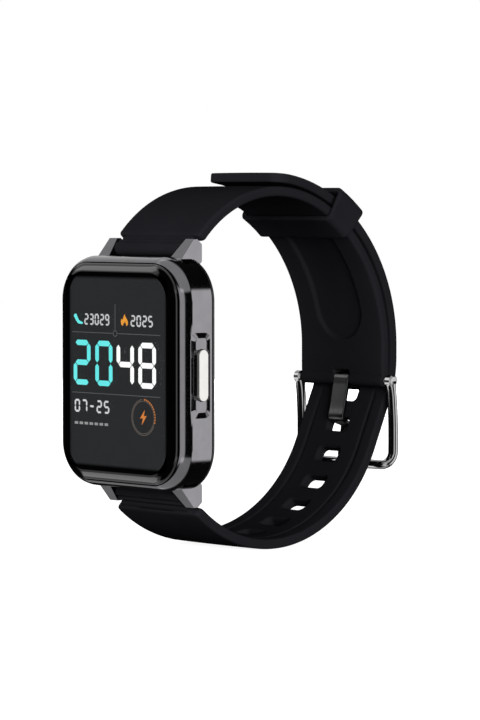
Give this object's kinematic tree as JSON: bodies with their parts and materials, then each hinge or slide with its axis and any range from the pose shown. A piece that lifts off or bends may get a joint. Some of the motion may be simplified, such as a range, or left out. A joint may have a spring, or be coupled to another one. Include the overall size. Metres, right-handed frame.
{
  "type": "smartwatch",
  "caption": "Smartwatch with a square glass display, side button and black silicone strap closed by a tang buckle.",
  "frame": {"origin": "middle of the loop that the wrist fills", "axes": "+X towards the side button, along the wrist; +Y from the display towards the wrist; +Z towards the 12 o'clock end of the case"},
  "size_m": [0.0367, 0.065, 0.0734],
  "materials": {
    "case_metal": "dark gunmetal, polished",
    "cover_glass": "black-bordered clear glass",
    "black_seal": "matt black",
    "display": "dark grey display",
    "grey_plastic": "black moulded plastic",
    "board_green": "green circuit board",
    "chip_black": "black chip packages",
    "steel": "bright steel",
    "battery_foil": "silver foil pouch",
    "tungsten": "dark sintered metal",
    "button_metal": "polished",
    "plunger_orange": "orange plastic",
    "cover_black": "black plastic, satin",
    "window_black": "dark optical window",
    "led_green": "clear green lens",
    "gold": "gold plated",
    "silicone": "matt black silicone",
    "buckle_metal": "polished steel",
    "tongue_metal": "dark steel"
  },
  "bodies": {
    "case": {"case_frame": "case_metal", "cover_glass": "cover_glass", "glass_adhesive": "black_seal", "display_panel": "display", "inner_carrier": "grey_plastic", "main_board": "board_green", "board_chips": "chip_black", "board_screws": "steel", "battery": "battery_foil", "motor_can": "steel", "button_seal": "black_seal", "button_switch": "grey_plastic", "rear_cover": "cover_black", "rear_gasket": "black_seal", "sensor_window": "window_black", "sensor_board": "board_green", "sensor_leds": "led_green", "charging_contacts": "gold", "charging_magnets": "steel", "upper_bar_tube": "steel", "upper_bar_spring": "steel", "lower_bar_tube": "steel", "lower_bar_spring": "steel"},
    "motor_rotor": {"motor_weight": "tungsten"},
    "button": {"side_button": "button_metal", "button_clip": "steel", "switch_plunger": "plunger_orange"},
    "upper_left_pin": {"upper_tip_left": "steel"},
    "upper_right_pin": {"upper_tip_right": "steel"},
    "lower_left_pin": {"lower_tip_left": "steel"},
    "lower_right_pin": {"lower_tip_right": "steel"},
    "buckle_half": {"buckle_strap": "silicone", "buckle_bar_tube": "steel", "buckle_bar_spring": "steel"},
    "tail_half": {"tail_strap": "silicone"},
    "keeper": {"strap_keeper": "silicone"},
    "frame": {"buckle_frame": "buckle_metal"},
    "tongue": {"buckle_tongue": "tongue_metal"},
    "buckle_left_pin": {"buckle_tip_left": "steel"},
    "buckle_right_pin": {"buckle_tip_right": "steel"}
  },
  "joints": [
    {"name": "button_press", "type": "slide", "parent": "case", "child": "button", "axis": [-1, 0, 0], "range_m": [0, 0.00035], "stiffness_N_per_m": 3000, "springref_m": -0.0003},
    {"name": "motor_spin", "type": "hinge", "parent": "case", "child": "motor_rotor", "pos_m": [0.01395, -0.0243, -0.0126], "axis": [0, 0, 1], "continuous": true},
    {"name": "upper_strap_swing", "type": "hinge", "parent": "case", "child": "buckle_half", "pos_m": [0, -0.0209, 0.024], "axis": [1, 0, 0], "range_deg": [-0.3, 0.1]},
    {"name": "lower_strap_swing", "type": "hinge", "parent": "case", "child": "tail_half", "pos_m": [0, -0.0209, -0.024], "axis": [1, 0, 0], "range_deg": [-0.1, 0.3]},
    {"name": "keeper_slide", "type": "hinge", "parent": "buckle_half", "child": "keeper", "pos_m": [0, -0.0018, 0.0034], "axis": [1, 0, 0], "range_deg": [-10, 5]},
    {"name": "frame_swing", "type": "hinge", "parent": "buckle_half", "child": "frame", "pos_m": [0, 0.03025, -0.0032], "axis": [1, 0, 0], "range_deg": [-1, 0]},
    {"name": "tongue_lift", "type": "hinge", "parent": "buckle_half", "child": "tongue", "pos_m": [0, 0.03025, -0.0032], "axis": [1, 0, 0], "range_deg": [0, 1]},
    {"name": "upper_left_pin_press", "type": "slide", "parent": "case", "child": "upper_left_pin", "axis": [1, 0, 0], "range_m": [0, 0.0012], "stiffness_N_per_m": 150, "springref_m": -0.001, "deforming": ["upper_bar_spring"]},
    {"name": "upper_right_pin_press", "type": "slide", "parent": "case", "child": "upper_right_pin", "axis": [-1, 0, 0], "range_m": [0, 0.0012], "stiffness_N_per_m": 150, "springref_m": -0.001},
    {"name": "lower_left_pin_press", "type": "slide", "parent": "case", "child": "lower_left_pin", "axis": [1, 0, 0], "range_m": [0, 0.0012], "stiffness_N_per_m": 150, "springref_m": -0.001, "deforming": ["lower_bar_spring"]},
    {"name": "lower_right_pin_press", "type": "slide", "parent": "case", "child": "lower_right_pin", "axis": [-1, 0, 0], "range_m": [0, 0.0012], "stiffness_N_per_m": 150, "springref_m": -0.001},
    {"name": "buckle_left_pin_press", "type": "slide", "parent": "buckle_half", "child": "buckle_left_pin", "axis": [1, 0, 0], "range_m": [0, 0.0016], "stiffness_N_per_m": 150, "springref_m": -0.001, "deforming": ["buckle_bar_spring"]},
    {"name": "buckle_right_pin_press", "type": "slide", "parent": "buckle_half", "child": "buckle_right_pin", "axis": [-1, 0, 0], "range_m": [0, 0.0016], "stiffness_N_per_m": 150, "springref_m": -0.001}
  ],
  "couplings": [
    {"joint": "lower_strap_swing", "follows": "upper_strap_swing", "ratio": -1}
  ]
}
